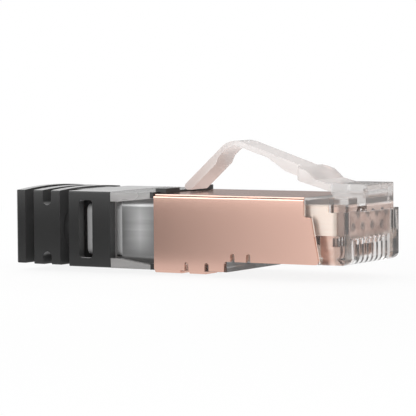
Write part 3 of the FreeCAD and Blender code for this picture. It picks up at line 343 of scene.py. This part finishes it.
# black mouldings with a fine eroded grain, drawn about twice as coarse as it is so that it shows
def makeBlack(name, look):
    material, tree = newMaterial(name)
    where = addNode(tree, "TexCoord").outputs["Object"]
    grain = addNode(tree, "TexNoise", {"Vector": where, "Scale": 1 / (look["grainMm"] * mm), "Detail": 4.0})
    rough = addNode(tree, "MapRange", {"Value": grain, **noiseSpan,
                                       "To Min": look["roughLow"], "To Max": look["roughHigh"]})
    bump = addNode(tree, "Bump", {"Height": grain, "Distance": look["grainDepthMm"] * mm,
                                  "Strength": look["bump"]})
    shader = addNode(tree, "BsdfPrincipled", {"Base Color": cloudedFace(tree, look), "Roughness": rough,
                                              "Normal": bump, "IOR": look["ior"],
                                              "Sheen Weight": look["sheen"],
                                              "Sheen Roughness": look["sheenRough"]})
    addNode(tree, "OutputMaterial", {"Surface": shader})
    return material


# the boot gives the eye a satin black skin that lightens where it is seen edge on
bootLook = {"light": "#131313", "dark": "#0e0e0e", "cloudMm": 4.0, "roughLow": 0.28, "roughHigh": 0.32,
            "grainMm": 0.10, "grainDepthMm": 0.0005, "bump": 0.5, "ior": 1.5, "sheen": 0.95,
            "sheenRough": 0.4, "bevelMm": 0.06}
bootRubber = makeBlack("thermoplasticElastomerMoulded", bootLook)
dressNode("boot", bootRubber, bootLook["bevelMm"])

# the collar gives the eye a harder and duller black than the boot
collarLook = {"light": "#161616", "dark": "#0f0f0f", "cloudMm": 4.0, "roughLow": 0.35, "roughHigh": 0.42,
              "grainMm": 0.15, "grainDepthMm": 0.002, "bump": 0.5, "ior": 1.5, "sheen": 0.2,
              "sheenRough": 0.4, "bevelMm": 0.05}
collarPlastic = makeBlack("blackPolycarbonateMoulded", collarLook)
dressNode("collar", collarPlastic, collarLook["bevelMm"])
print("stage: black parts")

# the sleeve gives the eye two pale grey slabs with soft ends
sleeveLook = {
    "ior": 1.49, "tint": "#eeeded", "tintDark": "#e4e3e2", "roughLow": 0.22, "roughHigh": 0.30, "flowMm": 3.0,
    "flowStretch": 2, "milk": 0.74, "milkHex": "#cfcdcc", "hazeShare": 0.5, "shadowShare": 0.8,
    "clearAfter": 4.5, "bevelMm": 0.05}
sleevePlastic = makeClear("polycarbonateFrostedSleeve", sleeveLook)
dressNode("clear_sleeve", sleevePlastic, sleeveLook["bevelMm"])
print("stage: sleeve")


# 1 for the eye, in mirrors and through clear parts, 0 for the light that falls on the plug
def whiteWhereSeen(tree):
    path = addNode(tree, "LightPath")
    seen = addNode(tree, "Math", {0: path.outputs["Is Camera Ray"], 1: path.outputs["Is Transmission Ray"]},
                   operation="MAXIMUM")
    return addNode(tree, "Math", {0: seen, 1: path.outputs["Is Glossy Ray"]}, operation="MAXIMUM")


def addPanel(name, corners, material):
    mesh = bpy.data.meshes.new(name)
    mesh.from_pydata(corners, [], [(0, 1, 2, 3)])
    mesh.materials.append(material)
    panel = bpy.data.objects.new(name, mesh)
    bpy.context.scene.collection.objects.link(panel)
    return panel


# the floor gives the eye a plain white sweep of paper with a faint shadow close to the plug
floorLook = {"hex": "#f4f4f4", "rough": 0.9, "shadowShare": 0.12, "nearM": 0.03, "farM": 0.12, "halfM": 1.5,
             "dropMm": 0.3}
floorPaper, tree = newMaterial("paperSweep")
paper = addNode(tree, "BsdfPrincipled", {"Base Color": floorLook["hex"], "Roughness": floorLook["rough"]})
glow = addNode(tree, "Emission", {"Color": "#ffffff", "Strength": 1.0})
away = addNode(tree, "VectorMath", {0: addNode(tree, "TexCoord").outputs["Object"]}, operation="LENGTH")
plain = addNode(tree, "MapRange", {"Value": away.outputs["Value"],
                                   "From Min": floorLook["nearM"], "From Max": floorLook["farM"],
                                   "To Min": 1 - floorLook["shadowShare"], "To Max": 1.0},
                interpolation_type="SMOOTHSTEP")
seen = addNode(tree, "Math", {0: whiteWhereSeen(tree), 1: plain}, operation="MULTIPLY")
addNode(tree, "OutputMaterial", {"Surface": addNode(tree, "MixShader", {0: seen, 1: paper, 2: glow})})
half = floorLook["halfM"]
floorCorners = [(-half, -half, 0), (half, -half, 0), (half, half, 0), (-half, half, 0)]
floor = addPanel("floor", floorCorners, floorPaper)
floor.location.z = -floorLook["dropMm"] * mm

# the room is plain white to look at, and lights the plug less than that
roomLook = {"light": 0.64, "white": 1.0}
world = bpy.data.worlds.new("studio")
bpy.context.scene.world = world
world.use_nodes = True
tree = world.node_tree
tree.nodes.clear()
roomLight = addNode(tree, "Background", {"Color": "#ffffff", "Strength": roomLook["light"]})
roomWhite = addNode(tree, "Background", {"Color": "#ffffff", "Strength": roomLook["white"]})
room = addNode(tree, "MixShader", {0: whiteWhereSeen(tree), 1: roomLight, 2: roomWhite})
addNode(tree, "OutputWorld", {"Surface": room})

# grey cards stand around the plug as in a light tent, and show in its gloss alone
# each has its glow at three places along the plug, and an even card keeps the same nodes,
# so that all four are sampled as lamps in the same way
glowAtMm = (-20, 8, 13)
cards = {
    "leftCard": {"paper": "gradedCard", "glow": (0.155, 0.97, 1.5),
                 "cornersMm": [(-220, -20, -0.2), (13, -20, -0.2), (13, -20, 7.4), (-220, -20, 7.4)]},
    "edgeCard": {"paper": "whiteCard", "glow": (2.8, 2.8, 2.8),
                 "cornersMm": [(-220, -20, 7.4), (13, -20, 7.4), (13, -20, 18.4), (-220, -20, 18.4)]},
    "rearCard": {"paper": "greyCard", "glow": (0.35, 0.35, 0.35),
                 "cornersMm": [(-400, 130, -0.2), (150, 130, -0.2), (150, 130, 42), (-400, 130, 42)]},
    "seamCard": {"paper": "darkCard", "glow": (0.05, 0.05, 0.05),
                 "cornersMm": [(-250, -151, 120), (60, -151, 120), (60, -35, 120), (-250, -35, 120)]}}


def makeCard(name, glow, atMm):
    material, tree = newMaterial(name)
    axes = addNode(tree, "SeparateXYZ", {0: addNode(tree, "TexCoord").outputs["Object"]})
    first = addNode(tree, "MapRange", {"Value": axes, "From Min": atMm[0] * mm, "From Max": atMm[1] * mm,
                                       "To Min": glow[0], "To Max": glow[1]})
    more = addNode(tree, "MapRange", {"Value": axes, "From Min": atMm[1] * mm, "From Max": atMm[2] * mm,
                                      "To Min": 0.0, "To Max": glow[2] - glow[1]})
    strength = addNode(tree, "Math", {0: first, 1: more}, operation="ADD")
    addNode(tree, "OutputMaterial", {"Surface": addNode(tree, "Emission", {"Strength": strength})})
    return material


for cardName, look in cards.items():
    corners = [tuple(c * mm for c in corner) for corner in look["cornersMm"]]
    card = addPanel(cardName, corners, makeCard(look["paper"], look["glow"], glowAtMm))
    card.visible_camera = False
    card.visible_transmission = False
    card.visible_shadow = False
    card.visible_diffuse = False

# two softboxes, one before the plug and one over its far side
aimM = (0, 0, 0.008)
lampLook = {"frontSoftbox": {"placeM": (-0.127, -0.250, 0.105), "sizeM": (0.20, 0.10), "watts": 0.19},
            "rearSoftbox": {"placeM": (-0.100, 0.065, 0.200), "sizeM": (0.23, 0.265), "watts": 0.25}}
for lampName, look in lampLook.items():
    lampData = bpy.data.lights.new(lampName, "AREA")
    lampData.shape = "RECTANGLE"
    lampData.size, lampData.size_y = look["sizeM"]
    lampData.energy = look["watts"]
    lamp = bpy.data.objects.new(lampName, lampData)
    bpy.context.scene.collection.objects.link(lamp)
    lamp.location = look["placeM"]
    lamp.rotation_euler = (Vector(aimM) - lamp.location).to_track_quat("-Z", "Y").to_euler()
    lamp.visible_camera = False
    lamp.visible_transmission = False  # no sparkles inside the clear parts
print("stage: light")

# the camera stands in front of the nose, to the side, a little above the plug
cameraLook = {"fromFrontMm": (111.609, -222.681, 21.162), "lensMm": 219.05, "sensorMm": 36,
              "azimuthDeg": 30.518, "pitchDeg": 3.295, "rollDeg": -0.4314, "nearM": 0.01, "farM": 20}
azimuth, pitch, roll = (math.radians(cameraLook[key]) for key in ("azimuthDeg", "pitchDeg", "rollDeg"))
ahead = Vector((-math.sin(azimuth) * math.cos(pitch), math.cos(azimuth) * math.cos(pitch), -math.sin(pitch)))
level = ahead.cross(Vector((0, 0, 1))).normalized()
above = level.cross(ahead)
right = math.cos(roll) * level + math.sin(roll) * above
upward = -math.sin(roll) * level + math.cos(roll) * above
cameraData = bpy.data.cameras.new("camera")
cameraData.lens = cameraLook["lensMm"]
cameraData.sensor_width = cameraLook["sensorMm"]
cameraData.clip_start = cameraLook["nearM"]
cameraData.clip_end = cameraLook["farM"]
camera = bpy.data.objects.new("camera", cameraData)
bpy.context.scene.collection.objects.link(camera)
frontFoot = Vector((highCad.x, 0, lowCad.z))
turn = Matrix((right, upward, -ahead)).transposed().to_4x4()
camera.matrix_world = Matrix.Translation(frontFoot + Vector(cameraLook["fromFrontMm"]) * mm) @ turn
bpy.context.scene.camera = camera
bpy.context.scene.view_settings.view_transform = "Standard"
print("stage: camera")
